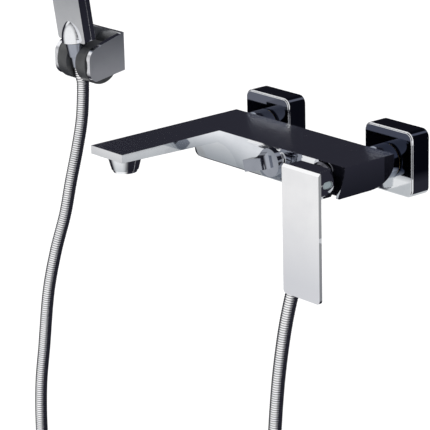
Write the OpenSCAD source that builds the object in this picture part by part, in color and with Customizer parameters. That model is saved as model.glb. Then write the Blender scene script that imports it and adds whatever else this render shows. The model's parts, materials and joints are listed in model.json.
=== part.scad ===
// Wall mounted bath faucet: single lever mixer with a flat spout, a diverter, a hand shower,
// its metal hose and its wall bracket. Millimetres. The wall is the plane Y = 0, the front is
// towards -Y, +X is to the right and +Z is up. The origin is midway between the two inlets.

/* [Body] */
// Distance between the hot and the cold inlet
inlet_pitch = 150; // [140:1:160]
// Length of the valve body past the hot inlet
left_overhang = 20.8; // [18:0.2:24]
// Length of the valve body past the cold inlet
right_overhang = 25; // [23.5:0.5:28]
// Width of the flat top, front to back
body_depth = 55; // [50:1:62]
// Distance from the wall to the back of the body
body_standoff = 37; // [36:1:46]
// Height of the flat top above the inlets
body_top = 13.9; // [13:0.1:18]
// Depth of the underside below the inlets
body_bottom = 11.4; // [11:0.1:16]
// How far the lower front lip stands out past the top edge
body_lip = 8; // [6:0.5:8]
// Plan radius of the left end under the spout
body_end_r = 28; // [15:1:32]

/* [Spout] */
// Width of the spout
spout_w = 41.5; // [38:0.5:46]
// Length of the spout past the front of the body
spout_reach = 105; // [70:1:170]
// Thickness of the spout where it leaves the body
spout_root_t = 9.8; // [9:0.1:12]
// Thickness of the spout at its tip
spout_tip_t = 7.1; // [6.5:0.1:9]
// Distance from the tip to the centre of the outlet
outlet_back = 19; // [16.5:0.5:30]
// Height of the outlet boss under the spout
boss_h = 13; // [10:0.5:16]
// Radius of the aerator thread
aerator_r = 9.4; // [8.5:0.1:9.6]

/* [Inlets] */
// Side of the square wall plates
plate_w = 56; // [50:1:70]
// Depth of the wall plates
plate_t = 19.6; // [16:0.1:21]
// Corner radius of the wall plates
plate_r = 7; // [3:0.5:12]
// Radius of the male thread that enters the wall
wall_thread_r = 10.48; // [10:0.01:11]
// Length of the male thread that enters the wall
wall_thread_l = 14; // [10:1:30]
// Outer radius of the union nuts
union_nut_r = 15; // [14.5:0.1:16]

/* [Lever] */
// Width of the lever
lever_w = 43.6; // [36:0.2:46]
// Length of the lever below the cartridge axis
lever_drop = 98.7; // [60:0.1:125]
// Thickness of the lever
lever_t = 3; // [2.4:0.1:3.4]
// Height of the cartridge axis above the inlets
cartridge_z = 1.3; // [0.6:0.1:2]
// Radius of the cartridge bore in the body
cartridge_r = 10.5; // [10.4:0.1:10.8]

/* [Diverter] */
// Position of the diverter and of the shower outlet along the body
diverter_x = 24; // [5:1:28]
// Height of the diverter axis above the inlets
diverter_z = 5; // [4:0.1:5.4]
// Radius of the diverter bore in the body
diverter_r = 6.5; // [6.2:0.1:6.8]
// Radius of the round part of the diverter knob
knob_r = 12; // [10:0.5:12.5]
// Length of the knob's finger tab from the axis
knob_tab = 25; // [18:0.5:26]

/* [Shower outlet and hose] */
// Distance from the wall to the shower outlet
shower_outlet_y = 66; // [63:1:70]
// Outer diameter of the hose
hose_d = 12; // [10:0.5:12.5]
// Radius of the male thread of the shower outlet and of the hand shower
hose_thread_r = 10.4; // [10:0.05:10.5]

/* [Bracket] */
// Distance of the bracket from the middle of the faucet
bracket_x = 327; // [300:1:330]
// Width of the bracket
bracket_w = 54; // [50:1:60]
// Thickness of each cheek of the bracket
cheek_t = 5; // [4:0.5:6.5]
// Radius of the swivel core
core_r = 20; // [18.5:0.5:20.5]

/* [Hand shower] */
// Width of the hand shower
shower_w = 41; // [38:0.5:46]
// Thickness of the hand shower
shower_t = 13; // [12:0.5:15]
// Length of the hand shower without its inlet
shower_l = 205; // [160:1:240]
// How far the hand shower leans out from the wall, in degrees
shower_lean = 8; // [8:0.1:8]

/* [Clearances] */
// Radial running clearance of a shaft in its hole
run_gap = 0.05; // [0.03:0.01:0.09]
// Gap between pieces that sit in each other without turning
seat_gap = 0.1; // [0.05:0.05:0.15]

/* [Hidden] */
$fn = 48;
eps = 0.5;

// Body
body_front = body_standoff + body_depth;
body_left = -inlet_pitch / 2 - left_overhang;
body_right = inlet_pitch / 2 + right_overhang;
lip_front = body_front + body_lip;
body_h = body_top + body_bottom;
spout_tip = body_front + spout_reach;
spout_mid = body_left + spout_w / 2;
outlet_y = spout_tip - outlet_back;
boss_top = body_top - spout_tip_t;
boss_bottom = boss_top + 0.5 - boss_h;
boss_root_r = 15;
body_corner_w = 32;
body_corner_h = 14;
boss_tip_r = 11.4;

// Inlets
plate_wall = 1.6;
plate_gap = 0.5;
union_thread_r = 13.1;
union_front = body_standoff - 9;
union_bore = 7;
washer_t = 2;
tail_r = 10;
tail_flange_r = 12.8;
tail_flange_t = 2.6;
tail_depth = 10;
inlet_boss_r = 12;
check_r = 6.4;
check_back = union_front + washer_t + 1;
check_len = 13;
poppet_stem_r = 1.5;

// Cartridge stack, as distances from the wall
cart_x = inlet_pitch / 2;
cartridge_floor = body_standoff + 22;
cartridge_seal_t = 1.5;
cartridge_base = cartridge_floor + cartridge_seal_t;
cartridge_base_t = 4;
cartridge_front = cartridge_base + 25;
disc_r = 8;
fixed_disc_t = 2;
moving_disc_t = 2;
fixed_disc_y = cartridge_base + cartridge_base_t;
moving_disc_y = fixed_disc_y + fixed_disc_t;
carrier_y = moving_disc_y + moving_disc_t;
carrier_t = 3.4;
carrier_r = 7.6;
disc_travel = 1.24;
rotor_y = carrier_y + carrier_t + 0.3;
rotor_r = 7.2;
rotor_flange_t = 2;
housing_cavity_r = 9.3;
lever_pivot = rotor_y + 6.2;
pivot_pin_r = 1.25;
stem_w = 5;
stem_slot_h = 12.6;
stem_tail_r = 1.9;
carrier_slot_w = 4.4;
nut_front = body_front + 0.8;
nut_bore_r = 9;
cap_r = 12.6;
cap_bore_r = 10.2;
cap_front = body_front + 4.4;
spot_r = lever_w / 2 + 0.6;
spot_y = body_front + 1.4;
hub_r = 21;
hub_half_h = 11.6;
hub_back = body_front + 8.6;
lever_front = body_front + 26;
lever_back = lever_front - lever_t;
stem_front = lever_back - 2;
socket_w = stem_w + 2 * seat_gap;
screw_y = hub_back + 6.5;
screw_r = 2;
screw_hole_r = 2.05;
cap_slot_w = 6;
cap_slot_l = 10;

// Diverter stack
diverter_floor = body_standoff + 20;
diverter_front = body_front + 8.6;
port_y = diverter_floor + 6;
sleeve_stem_r = 5.6;
spindle_r = 3;
spindle_back = diverter_floor + 10;
knob_back = diverter_front + 0.5;
knob_front = lever_back - 2.6;
knob_tab_h = 10;
knob_hub_t = 5;
knob_tab_in = 2.5;
knob_side_r = 7;
knob_fillet_r = 5;
knob_rest = 15;
knob_bore = 3.8;
knob_screw_r = 1;
knob_screw_w = 2.1;

// Shower outlet and hose fittings, as heights
hose_r = hose_d / 2;
outlet_top = -body_bottom + 5;
nipple_end = -body_bottom - 15;
nipple_bore = 6;
outlet_seal_t = 1.5;
hose_washer_t = 2;
outlet_collar = -body_bottom - outlet_seal_t;
hose_nut_top = outlet_collar - 3.5;
hose_flange_top = nipple_end - hose_washer_t;
hose_flange_t = 2.4;
hose_nut_end = hose_flange_top - hose_flange_t - 4.4;
hose_nut_r = 12;
hose_nut_cone_h = 4;
hose_top = hose_nut_end - 8;
bead_r = hose_r + 1.6;
ferrule_r = hose_r + 0.4;

// Bracket
bracket_mid = -bracket_x;
bracket_right = bracket_mid + bracket_w / 2;
bracket_left = bracket_mid - bracket_w / 2;
bracket_back_t = 3;
bracket_high = 42.5;
bracket_low = 6;
cheek_front = 41.5;
cheek_top_front = 32;
cheek_low_front = 0.5;
core_y = bracket_back_t + 0.5 + core_r;
core_z = 15.5;
core_w = bracket_w - 2 * cheek_t - 2.4;
friction_t = 0.9;
pivot_pin_big_r = 2.5;
pivot_pin_in = 7;
pivot_pin_out = 3;
wall_plate_t = 1.5;
wall_plate_w = 26;
wall_plate_h = 24;
wall_screw_pitch = 14;
wall_hole_r = 2.4;
wall_sink_r = 3.6;
bracket_screw_z = (bracket_high + bracket_low) / 2;
grub_r = 0.8;

// Hand shower, along its own leaning axis from the end of its inlet nut
cone_y = 33.5;
cone_z = core_z;
cone_len = 14;
cone_top_r = 10.2;
cone_low_r = 9.2;
collar_len = 11;
collar_r = 7.6;
seat_top = 20.5;
slot_w = hose_d + 2;
slab_start = seat_top + 1.2;
slab_back = 2;
shell_wall = 2;
shower_round = 2.5;
neck_h = 21;
neck_r = 13;
shower_tube_r = 6;
shower_bore_r = 4.2;
nozzle_r = 1.3;
spray_l = 96;
spray_w = 30;
seam = 1.5;

// Route of the hose: down from the shower outlet, round its low loop and up to the hand shower
HOSE_SIDES = 10;
hose_end = collar_len + cone_len - seat_top;
HOSE_START = [[0, 0, 0], [0, 0, -8], [0, 0, -16]];
HOSE_LOOP = [
    [23, -70, -80], [20, -76, -108], [15, -82, -145], [11, -86, -184], [8, -88, -220],
    [5, -89, -262], [3, -90, -305], [0, -91, -350], [-6, -92, -400], [-19, -92, -445],
    [-42, -92, -483], [-76, -92, -512], [-118, -92, -531], [-163, -92, -538], [-208, -91, -533],
    [-251, -90, -517], [-288, -89, -491], [-317, -88, -454], [-336, -87, -409], [-343, -86, -355],
    [-342, -85, -305], [-339, -81, -262], [-335, -76, -208], [-331, -68, -167], [-328, -57, -131],
    [-327, -49, -99], [-327, -40, -69], [-327, -33, -40],
];
HOSE_FINISH = [20, 10, 0];

// ---------------------------------------------------------------- helpers

// Cylinder along Y between two distances from the wall
module ycyl(x, z, from, to, r, r2 = -1) {
    translate([x, -from, z])
        rotate([90, 0, 0])
            cylinder(h = to - from, r1 = r, r2 = r2 < 0 ? r : r2);
}

// Cylinder along X
module xcyl(y, z, from, to, r) {
    translate([from, y, z])
        rotate([0, 90, 0])
            cylinder(h = to - from, r = r);
}

// Cylinder along Z
module zcyl(x, y, from, to, r, r2 = -1) {
    translate([x, y, from])
        cylinder(h = to - from, r1 = r, r2 = r2 < 0 ? r : r2);
}

// Flat rectangle with round corners, centred
module round_rect(w, h, r) {
    square([w - 2 * r, h], center = true);
    square([w, h - 2 * r], center = true);
    for (i = [-1, 1], j = [-1, 1])
        translate([i * (w / 2 - r), j * (h / 2 - r)])
            circle(r = r);
}

// Round-cornered block along Y between two distances from the wall
module y_block(x, z, from, to, w, h, r) {
    translate([x, -from, z])
        rotate([90, 0, 0])
            linear_extrude(to - from)
                round_rect(w, h, r);
}

// Box given by its two corners
module box(low, high) {
    translate(low)
        cube(high - low);
}

// Puts its children on the hand shower's leaning axis, with Z = 0 level with the core's axis
module on_shower_axis() {
    translate([bracket_mid, -cone_y, cone_z])
        rotate([shower_lean, 0, 0])
            children();
}

// ---------------------------------------------------------------- valve body

// Side profile of the body: y towards the wall, z up; the front is a shallow cove over a lip
COVE = [for (i = [0 : 10]) [-body_front - body_lip * pow(i / 10, 1.6), body_top - (body_h - 1.2) * i / 10]];
BACK = [for (i = [0 : 10]) [
    -body_standoff - 27 + 27 * sin(9 * i),
    7 - (7 + body_bottom) * cos(9 * i)
]];
BODY_PROFILE = concat(COVE, [[-lip_front + 1.2, -body_bottom]], BACK, [[-body_standoff, body_top]]);

module belly() {
    intersection() {
        translate([body_left, 0, 0])
            rotate([90, 0, 90])
                linear_extrude(body_right - body_left)
                    polygon(BODY_PROFILE);
        translate([0, 0, -body_bottom - eps])
            linear_extrude(body_h + 2 * eps)
                union() {
                    translate([body_left + body_end_r, -lip_front - eps])
                        square([body_right - body_left - body_end_r, body_depth + body_lip + 2 * eps]);
                    translate([body_left, -lip_front + body_end_r])
                        square([body_end_r + eps, body_depth + body_lip - body_end_r + eps]);
                    translate([body_left + body_end_r, -lip_front + body_end_r])
                        circle(r = body_end_r);
                }
        // Lower corner at the left end, drawn up in a long curve
        rotate([90, 0, 0])
            linear_extrude(lip_front + 1)
                union() {
                    translate([body_left + body_corner_w, -body_bottom - eps])
                        square([body_right - body_left - body_corner_w + 1, body_h + 2 * eps]);
                    translate([body_left - 1, -body_bottom + body_corner_h])
                        square([body_corner_w + 2, body_h]);
                    translate([body_left + body_corner_w, -body_bottom + body_corner_h])
                        polygon([for (a = [180 : 6 : 270]) [body_corner_w * cos(a), body_corner_h * sin(a)],
                                 [0, 0]]);
                }
    }
}

module spout() {
    translate([body_left, 0, 0])
        rotate([90, 0, 90])
            linear_extrude(spout_w)
                polygon([
                    [-spout_tip, body_top], [-spout_tip, body_top - spout_tip_t],
                    [-body_front, body_top - spout_root_t], [-body_front + 20, body_top - spout_root_t],
                    [-body_front + 20, body_top],
                ]);
    zcyl(spout_mid, -outlet_y, boss_bottom, boss_top + 1, boss_tip_r, boss_root_r);
}

module waterways() {
    // Spout channel and gallery to the diverter
    box([spout_mid - 12, -outlet_y - 5, body_top - 5.4],
        [spout_mid + 12, -body_standoff - 22, body_top - 2.2]);
    xcyl(-body_standoff - 24, 5, spout_mid, diverter_x, 4);
    // Aerator thread and its seat
    zcyl(spout_mid, -outlet_y, boss_bottom - eps, boss_bottom + 9, aerator_r + seat_gap);
    zcyl(spout_mid, -outlet_y, boss_bottom + 8, body_top - 3, 7);
    // Gallery from the hot inlet to the cartridge
    xcyl(-body_standoff - 15, -1, -inlet_pitch / 2, inlet_pitch / 2 - 4, 3.6);
}

module valve_body() {
    color("silver")
        difference() {
            union() {
                belly();
                spout();
                for (s = [-1, 1])
                    ycyl(s * inlet_pitch / 2, 0, body_standoff, body_standoff + 18, inlet_boss_r);
            }
            waterways();
            // Inlet threads
            for (s = [-1, 1])
                ycyl(s * inlet_pitch / 2, 0, body_standoff - eps, body_standoff + tail_depth + 0.5,
                     tail_r - 1 + seat_gap);
            ycyl(-inlet_pitch / 2, 0, body_standoff, body_standoff + 16, 6);
            ycyl(inlet_pitch / 2, 0, body_standoff, cartridge_floor + eps, 5);
            // Cartridge bore, the seat of its cap and the round recess behind the lever
            ycyl(inlet_pitch / 2, cartridge_z, cartridge_floor, lip_front + eps, cartridge_r);
            ycyl(inlet_pitch / 2, cartridge_z, spot_y, lip_front + eps, spot_r);
            box([inlet_pitch / 2 - spot_r, -lip_front - eps, -body_bottom - eps],
                [inlet_pitch / 2 + spot_r, -spot_y, cartridge_z]);
            // Diverter bore
            ycyl(diverter_x, diverter_z, diverter_floor, lip_front + eps, diverter_r);
            // Gallery from the cartridge to the diverter, and the shower outlet
            xcyl(-port_y, 2, diverter_x, inlet_pitch / 2 - cartridge_r + 1, 3);
            zcyl(diverter_x, -shower_outlet_y, -body_bottom - eps, outlet_top + 0.5,
                 hose_thread_r - 1 + seat_gap);
            zcyl(diverter_x, -shower_outlet_y, outlet_top, diverter_z, 4.5);
        }
}

// ---------------------------------------------------------------- aerator

module aerator_housing() {
    color("silver")
        difference() {
            union() {
                zcyl(spout_mid, -outlet_y, boss_bottom, boss_bottom + 6.6, aerator_r);
                zcyl(spout_mid, -outlet_y, boss_bottom - 2.2, boss_bottom - 0.1,
                     aerator_r + 0.6, aerator_r + 1);
                zcyl(spout_mid, -outlet_y, boss_bottom - 0.2, boss_bottom + 0.1, aerator_r - 0.4);
            }
            zcyl(spout_mid, -outlet_y, boss_bottom - 3, boss_bottom + 8, aerator_r - 1.8);
        }
}

module aerator_insert() {
    color("whitesmoke")
        difference() {
            zcyl(spout_mid, -outlet_y, boss_bottom - 1.4, boss_bottom + 6.6, aerator_r - 1.8);
            for (a = [0 : 45 : 315], d = [2.6, 5.1])
                zcyl(spout_mid + d * cos(a), -outlet_y + d * sin(a), boss_bottom - 2, boss_bottom + 1, 0.8);
            zcyl(spout_mid, -outlet_y, boss_bottom + 0.5, boss_bottom + 7, aerator_r - 3);
        }
}

module aerator_washer() {
    color("dimgray")
        difference() {
            zcyl(spout_mid, -outlet_y, boss_bottom + 6.6, boss_bottom + 8.6, aerator_r);
            zcyl(spout_mid, -outlet_y, boss_bottom + 6, boss_bottom + 9.4, 6.5);
        }
}

// ---------------------------------------------------------------- inlets

module inlet_union(x) {
    color("goldenrod")
        difference() {
            union() {
                ycyl(x, 0, -wall_thread_l, 0, wall_thread_r);
                translate([x, 0, 0])
                    rotate([90, 30, 0])
                        cylinder(h = 9, r = 14.4, $fn = 6);
                ycyl(x, 0, 8, union_front, union_thread_r);
            }
            ycyl(x, 0, -wall_thread_l - eps, union_front + eps, union_bore);
        }
}

module hot_union() {
    inlet_union(-inlet_pitch / 2);
}

module cold_union() {
    inlet_union(inlet_pitch / 2);
}

module wall_plate(x) {
    color("silver")
        difference() {
            union() {
                y_block(x, 0, 0, plate_t - 1.2, plate_w, plate_w, plate_r);
                y_block(x, 0, plate_t - 1.3, plate_t, plate_w - 2, plate_w - 2, plate_r - 1);
            }
            y_block(x, 0, -eps, plate_t - plate_wall, plate_w - 2 * plate_wall, plate_w - 2 * plate_wall,
                    plate_r - plate_wall);
            ycyl(x, 0, -eps, plate_t + eps, union_thread_r + plate_gap);
        }
}

module hot_wall_plate() {
    wall_plate(-inlet_pitch / 2);
}

module cold_wall_plate() {
    wall_plate(inlet_pitch / 2);
}

module wall_plate_seals() {
    color("dimgray")
        for (s = [-1, 1])
            difference() {
                y_block(s * inlet_pitch / 2, 0, 0, 2.5, plate_w - 2 * plate_wall - 0.4,
                        plate_w - 2 * plate_wall - 0.4, plate_r - plate_wall);
                ycyl(s * inlet_pitch / 2, 0, -eps, 3, 17);
            }
}

module union_nut(x) {
    lip = tail_r + 0.2;
    color("silver")
        difference() {
            union() {
                ycyl(x, 0, plate_t + 1.8, body_standoff - 1.6, union_nut_r);
                ycyl(x, 0, plate_t + 0.8, plate_t + 1.8, union_nut_r - 0.8, union_nut_r);
                ycyl(x, 0, body_standoff - 1.6, body_standoff - 0.4, union_nut_r, union_nut_r - 1);
            }
            ycyl(x, 0, plate_t, union_front + washer_t + tail_flange_t, union_thread_r + seat_gap);
            ycyl(x, 0, plate_t, body_standoff + eps, lip);
        }
}

module hot_union_nut() {
    union_nut(-inlet_pitch / 2);
}

module cold_union_nut() {
    union_nut(inlet_pitch / 2);
}

module tailpiece(x) {
    flange = union_front + washer_t;
    color("goldenrod")
        difference() {
            union() {
                ycyl(x, 0, flange, flange + tail_flange_t, tail_flange_r);
                ycyl(x, 0, flange, body_standoff, tail_r);
                ycyl(x, 0, body_standoff - eps, body_standoff + tail_depth, tail_r - 1);
            }
            ycyl(x, 0, flange - eps, body_standoff + tail_depth - 3, check_r + seat_gap);
            ycyl(x, 0, flange, body_standoff + tail_depth + eps, 5);
        }
}

module hot_tailpiece() {
    tailpiece(-inlet_pitch / 2);
}

module cold_tailpiece() {
    tailpiece(inlet_pitch / 2);
}

module filter_washers() {
    color("dimgray")
        for (s = [-1, 1])
            difference() {
                ycyl(s * inlet_pitch / 2, 0, union_front, union_front + washer_t, union_thread_r - 0.4);
                ycyl(s * inlet_pitch / 2, 0, union_front - eps, union_front + 1.2, union_bore + 1);
                for (a = [0 : 60 : 300])
                    ycyl(s * inlet_pitch / 2 + 3.4 * cos(a), 3.4 * sin(a),
                         union_front, union_front + 3, 1.2);
                ycyl(s * inlet_pitch / 2, 0, union_front, union_front + 3, 1.2);
            }
}

// Guide ring at the outlet end and a seat at the inlet end, with the poppet between them
module check_housing(x) {
    color("royalblue")
        difference() {
            ycyl(x, 0, check_back, check_back + check_len, check_r);
            ycyl(x, 0, check_back - eps, check_back + 2.5, 3);
            ycyl(x, 0, check_back + 2.4, check_back + check_len - 3, check_r - 1.2);
            ycyl(x, 0, check_back, check_back + check_len + eps, poppet_stem_r + run_gap);
            for (a = [0 : 90 : 270])
                ycyl(x + 3.6 * cos(a), 3.6 * sin(a), check_back + 8, check_back + check_len + eps, 1.3);
        }
}

module hot_check_housing() {
    check_housing(-inlet_pitch / 2);
}

module cold_check_housing() {
    check_housing(inlet_pitch / 2);
}

module check_poppet(x) {
    color("white") {
        ycyl(x, 0, check_back + 2.8, check_back + 5.4, 4.2);
        ycyl(x, 0, check_back + 5.3, check_back + check_len - 1, poppet_stem_r);
    }
}

module hot_check_poppet() {
    check_poppet(-inlet_pitch / 2);
}

module cold_check_poppet() {
    check_poppet(inlet_pitch / 2);
}

// ---------------------------------------------------------------- cartridge

// Ports of the discs and of the cartridge base
module ports(from, to, r) {
    for (a = [90, 210, 330])
        ycyl(cart_x + 4.4 * cos(a), cartridge_z + 4.4 * sin(a), from, to, r);
}

module cartridge_housing() {
    color("whitesmoke")
        difference() {
            ycyl(cart_x, cartridge_z, cartridge_base, cartridge_front, cartridge_r - seat_gap);
            ports(cartridge_base - eps, cartridge_base + cartridge_base_t + eps, 2.2);
            ycyl(cart_x, cartridge_z, fixed_disc_y, rotor_y + rotor_flange_t + 0.2, housing_cavity_r);
            ycyl(cart_x, cartridge_z, rotor_y, cartridge_front + eps, rotor_r + run_gap);
        }
}

module cartridge_seal() {
    color("dimgray")
        difference() {
            ycyl(cart_x, cartridge_z, cartridge_floor, cartridge_base, cartridge_r - 0.4);
            ports(cartridge_floor - eps, cartridge_base + eps, 2.4);
        }
}

module fixed_disc() {
    color("linen")
        difference() {
            ycyl(cart_x, cartridge_z, fixed_disc_y, moving_disc_y, housing_cavity_r - seat_gap);
            ports(fixed_disc_y - eps, moving_disc_y + eps, 2);
        }
}

module moving_disc() {
    color("white")
        difference() {
            ycyl(cart_x, cartridge_z + disc_travel, moving_disc_y + 0.05, carrier_y, disc_r);
            ycyl(cart_x, cartridge_z, moving_disc_y - eps, moving_disc_y + 1.2, 4.6);
        }
}

module disc_carrier() {
    color("darkorange")
        difference() {
            ycyl(cart_x, cartridge_z + disc_travel, carrier_y, carrier_y + carrier_t, carrier_r);
            box([cart_x - 3.4, -carrier_y - carrier_t - eps, cartridge_z - carrier_slot_w / 2],
                [cart_x + 3.4, -carrier_y - 0.8, cartridge_z + carrier_slot_w / 2]);
        }
}

module cartridge_rotor() {
    color("darkorange")
        difference() {
            union() {
                ycyl(cart_x, cartridge_z, rotor_y + 0.1, cartridge_front + 1, rotor_r);
                ycyl(cart_x, cartridge_z, rotor_y + 0.1, rotor_y + rotor_flange_t, housing_cavity_r - 0.2);
            }
            box([cart_x - stem_w / 2 - 0.2, -cartridge_front - 2, cartridge_z - stem_slot_h / 2],
                [cart_x + stem_w / 2 + 0.2, -rotor_y + eps, cartridge_z + stem_slot_h / 2]);
            xcyl(-lever_pivot, cartridge_z, cart_x - 9, cart_x + 9, pivot_pin_r + seat_gap / 2);
        }
}

module pivot_pin() {
    color("gray")
        xcyl(-lever_pivot, cartridge_z, cart_x - rotor_r + 1, cart_x + rotor_r - 1, pivot_pin_r);
}

module lever_stem() {
    color("goldenrod")
        difference() {
            union() {
                box([cart_x - stem_w / 2, -stem_front, cartridge_z - stem_w / 2],
                    [cart_x + stem_w / 2, -lever_pivot - 1, cartridge_z + stem_w / 2]);
                xcyl(-lever_pivot, cartridge_z, cart_x - stem_w / 2, cart_x + stem_w / 2, stem_w / 2);
                box([cart_x - stem_w / 2, -lever_pivot, cartridge_z - 1.2],
                    [cart_x + stem_w / 2, -carrier_y - 2.6, cartridge_z + 1.2]);
                xcyl(-carrier_y - 2.8, cartridge_z, cart_x - stem_w / 2, cart_x + stem_w / 2, stem_tail_r);
            }
            xcyl(-lever_pivot, cartridge_z, cart_x - 5, cart_x + 5, pivot_pin_r + run_gap);
        }
}

module retaining_nut() {
    color("goldenrod")
        difference() {
            ycyl(cart_x, cartridge_z, cartridge_front + 0.1, nut_front, cartridge_r - seat_gap);
            ycyl(cart_x, cartridge_z, cartridge_front - eps, nut_front + eps, nut_bore_r);
        }
}

module dome_cap() {
    color("silver")
        difference() {
            union() {
                ycyl(cart_x, cartridge_z, nut_front + 0.1, spot_y + eps, cartridge_r - seat_gap);
                ycyl(cart_x, cartridge_z, spot_y, cap_front - 1.6, cap_r);
                ycyl(cart_x, cartridge_z, cap_front - 1.6, cap_front, cap_r, cap_r - 2.2);
            }
            ycyl(cart_x, cartridge_z, nut_front, cap_front + eps, cap_bore_r - 0.6);
            ycyl(cart_x, cartridge_z, spot_y, cap_front + eps, cap_bore_r);
        }
}

// ---------------------------------------------------------------- lever

// Front outline of the lever, with small round lower corners
module lever_outline() {
    r = 3.5;
    top = hub_half_h;
    translate([-lever_w / 2, -lever_drop + r])
        square([lever_w, lever_drop - r + top]);
    translate([-lever_w / 2 + r, -lever_drop])
        square([lever_w - 2 * r, r + 1]);
    for (i = [-1, 1])
        translate([i * (lever_w / 2 - r), -lever_drop + r])
            circle(r = r);
}

module lever_handle() {
    color("silver")
        difference() {
            union() {
                difference() {
                    translate([cart_x, -lever_back, cartridge_z])
                        rotate([90, 0, 0])
                            linear_extrude(lever_t)
                                lever_outline();
                    // Sloped upper front edge
                    translate([cart_x, -lever_front, cartridge_z + hub_half_h])
                        rotate([45, 0, 0])
                            cube([lever_w + 2, 3.2, 3.2], center = true);
                }
                intersection() {
                    ycyl(cart_x, cartridge_z, hub_back, lever_back + eps, hub_r);
                    box([cart_x - hub_r - 1, -lever_front, cartridge_z - hub_half_h],
                        [cart_x + hub_r + 1, -hub_back + 1, cartridge_z + hub_half_h]);
                }
            }
            // Socket of the stem
            box([cart_x - socket_w / 2, -stem_front - 0.3, cartridge_z - socket_w / 2],
                [cart_x + socket_w / 2, -hub_back + eps, cartridge_z + socket_w / 2]);
            // Screw hole and the slot of its cap on the right side
            xcyl(-screw_y, cartridge_z, cart_x + socket_w / 2 - eps, cart_x + hub_r + 1, screw_hole_r);
            cap_slot(seat_gap, 4);
        }
}

// Slot-shaped plug on the right side of the hub
module cap_slot(gap, extra) {
    half = (cap_slot_l - cap_slot_w) / 2;
    inner = cart_x + hub_r - 3;
    start = inner - (extra > 0 ? 0.2 : 0);
    for (i = [-1, 1])
        xcyl(-screw_y - i * half, cartridge_z, start, inner + 2 + extra, cap_slot_w / 2 + gap);
    box([start, -screw_y - half, cartridge_z - cap_slot_w / 2 - gap],
        [inner + 2 + extra, -screw_y + half, cartridge_z + cap_slot_w / 2 + gap]);
}

module lever_screw() {
    color("gray")
        xcyl(-screw_y, cartridge_z, cart_x + stem_w / 2 + seat_gap, cart_x + hub_r - 6, screw_r);
}

module lever_screw_cap() {
    color("slategray")
        cap_slot(0, 0);
}

// ---------------------------------------------------------------- diverter

module diverter_sleeve() {
    color("goldenrod")
        difference() {
            union() {
                ycyl(diverter_x, diverter_z, diverter_floor + 12, body_front, diverter_r - seat_gap);
                ycyl(diverter_x, diverter_z, body_front - eps, diverter_front, sleeve_stem_r);
            }
            ycyl(diverter_x, diverter_z, diverter_floor, diverter_front + eps, spindle_r + run_gap);
            for (d = [24, 29])
                ycyl(diverter_x, diverter_z, diverter_floor + d, diverter_floor + d + 2, 4.6);
        }
}

module diverter_spindle() {
    color("gainsboro")
        difference() {
            union() {
                ycyl(diverter_x, diverter_z, spindle_back, knob_back + knob_bore, spindle_r);
                ycyl(diverter_x, diverter_z, diverter_floor + 0.5, diverter_floor + 11.5,
                     diverter_r - seat_gap);
            }
            // Water port that is turned from the spout gallery to the shower outlet
            zcyl(diverter_x, -port_y, diverter_z - 8, diverter_z + 1, 3);
            xcyl(-port_y, diverter_z, diverter_x - 8, diverter_x + 0.5, 2.6);
        }
}

module diverter_seals() {
    color("black")
        for (d = [24, 29])
            translate([diverter_x, -diverter_floor - d - 1, diverter_z])
                rotate([90, 0, 0])
                    rotate_extrude()
                        translate([3.85, 0])
                            circle(r = 0.72, $fn = 16);
}

// Front outline of the knob: a round hub with one tab, joined by hollow fillets
module knob_outline() {
    half = knob_tab_h / 2;
    reach = half + knob_fillet_r;
    away = sqrt(pow(knob_r + knob_fillet_r, 2) - pow(reach, 2));
    touch = reach * knob_r / (knob_r + knob_fillet_r);
    circle(r = knob_r);
    translate([-knob_tab, -half])
        square([knob_tab, knob_tab_h]);
    difference() {
        translate([-away, -touch])
            square([away, 2 * touch]);
        for (j = [-1, 1])
            translate([-away, j * reach])
                circle(r = knob_fillet_r);
    }
}

// Places its children in the knob: Z = 0 is its back and the tab points to -X
module in_knob() {
    translate([diverter_x, -knob_back, diverter_z])
        rotate([90, -knob_rest, 0])
            children();
}

// Finger tab in front of the hub; its top and its right side sweep back to the hub in hollow curves
module knob_finger() {
    depth = knob_front - knob_back;
    half = knob_tab_h / 2;
    top_r = knob_r - half;
    difference() {
        linear_extrude(depth)
            intersection() {
                knob_outline();
                translate([-knob_tab - 1, -half])
                    square([knob_tab + 1 - knob_tab_in + knob_side_r, knob_r + half]);
            }
        translate([-knob_tab - 2, knob_r, depth])
            rotate([0, 90, 0])
                cylinder(h = knob_tab + knob_r + 2, r = top_r);
        translate([-knob_tab_in + knob_side_r, -knob_r, depth])
            rotate([-90, 0, 0])
                cylinder(h = 2 * knob_r, r = knob_side_r);
    }
}

module diverter_knob() {
    color("silver")
        in_knob()
            difference() {
                union() {
                    linear_extrude(knob_hub_t)
                        knob_outline();
                    knob_finger();
                }
                translate([0, 0, -1])
                    cylinder(h = knob_bore + 1.2, r = spindle_r + seat_gap);
                translate([0, -knob_r - 1, knob_screw_w])
                    rotate([-90, 0, 0])
                        cylinder(h = knob_r, r = knob_screw_r + seat_gap);
            }
}

// Grub screw that clamps the knob on its spindle from below
module knob_screw() {
    length = knob_r - 1 - spindle_r - 0.1;
    color("gray")
        in_knob()
            difference() {
                translate([0, -knob_r + 1, knob_screw_w])
                    rotate([-90, 0, 0])
                        cylinder(h = length, r = knob_screw_r);
                translate([0, -knob_r + 0.5, knob_screw_w])
                    rotate([-90, 0, 0])
                        cylinder(h = 2, r = 0.6, $fn = 6);
            }
}

// ---------------------------------------------------------------- shower outlet and hose

module outlet_nipple() {
    color("silver")
        difference() {
            union() {
                zcyl(diverter_x, -shower_outlet_y, outlet_collar, outlet_top, hose_thread_r - 1);
                zcyl(diverter_x, -shower_outlet_y, outlet_collar - 3, outlet_collar, hose_nut_r);
                zcyl(diverter_x, -shower_outlet_y, nipple_end, outlet_collar - 2.9, hose_thread_r);
            }
            zcyl(diverter_x, -shower_outlet_y, nipple_end - eps, outlet_top + eps, nipple_bore);
        }
}

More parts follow.
